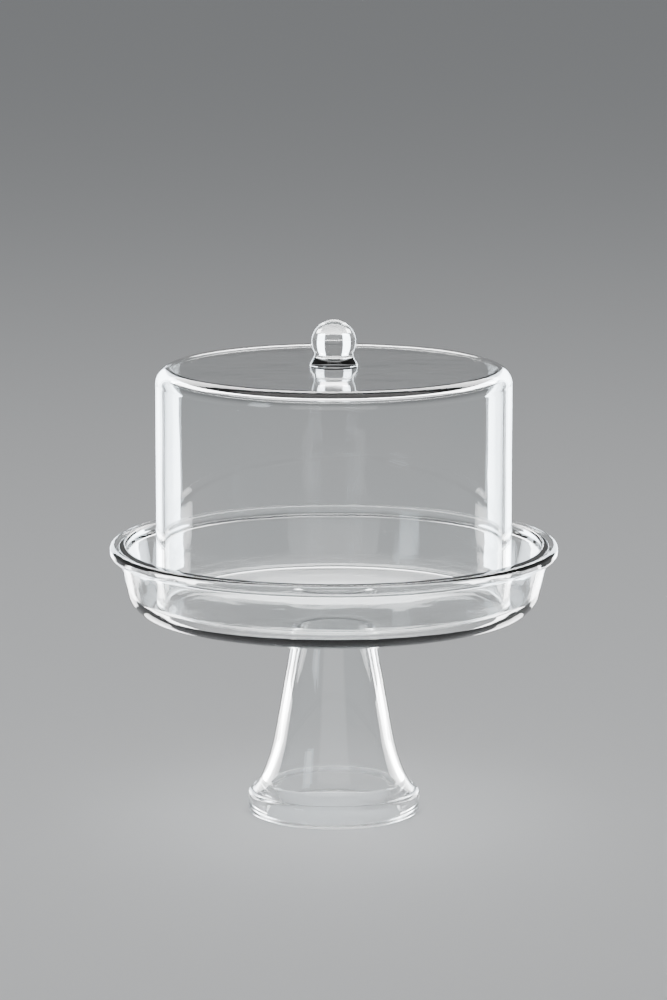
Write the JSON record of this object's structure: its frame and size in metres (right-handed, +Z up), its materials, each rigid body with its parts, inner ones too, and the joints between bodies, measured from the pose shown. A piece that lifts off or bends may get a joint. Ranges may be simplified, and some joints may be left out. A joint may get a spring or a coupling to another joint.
{
  "type": "cake stand with dome",
  "caption": "Clear glass cake stand: a deep rimmed dish on a hollow flared pedestal, under a flat-topped dome with a ball knob that lifts off.",
  "frame": {"origin": "centre of the foot's underside, on the axis all the pieces are turned about", "axes": "+Z up along the axis, towards the knob; +X and +Y lie in the foot's underside"},
  "size_m": [0.3, 0.3, 0.3345],
  "materials": {
    "clear_glass": "polished"
  },
  "bodies": {
    "stand": {"foot_ring": "clear_glass", "pedestal": "clear_glass", "dish": "clear_glass"},
    "dome_with_knob": {"dome": "clear_glass", "knob_collar": "clear_glass", "knob": "clear_glass"}
  },
  "joints": [
    {"name": "dome_lift", "type": "slide", "parent": "stand", "child": "dome_with_knob", "axis": [0, 0, 1], "range_m": [0, 0.16]}
  ]
}
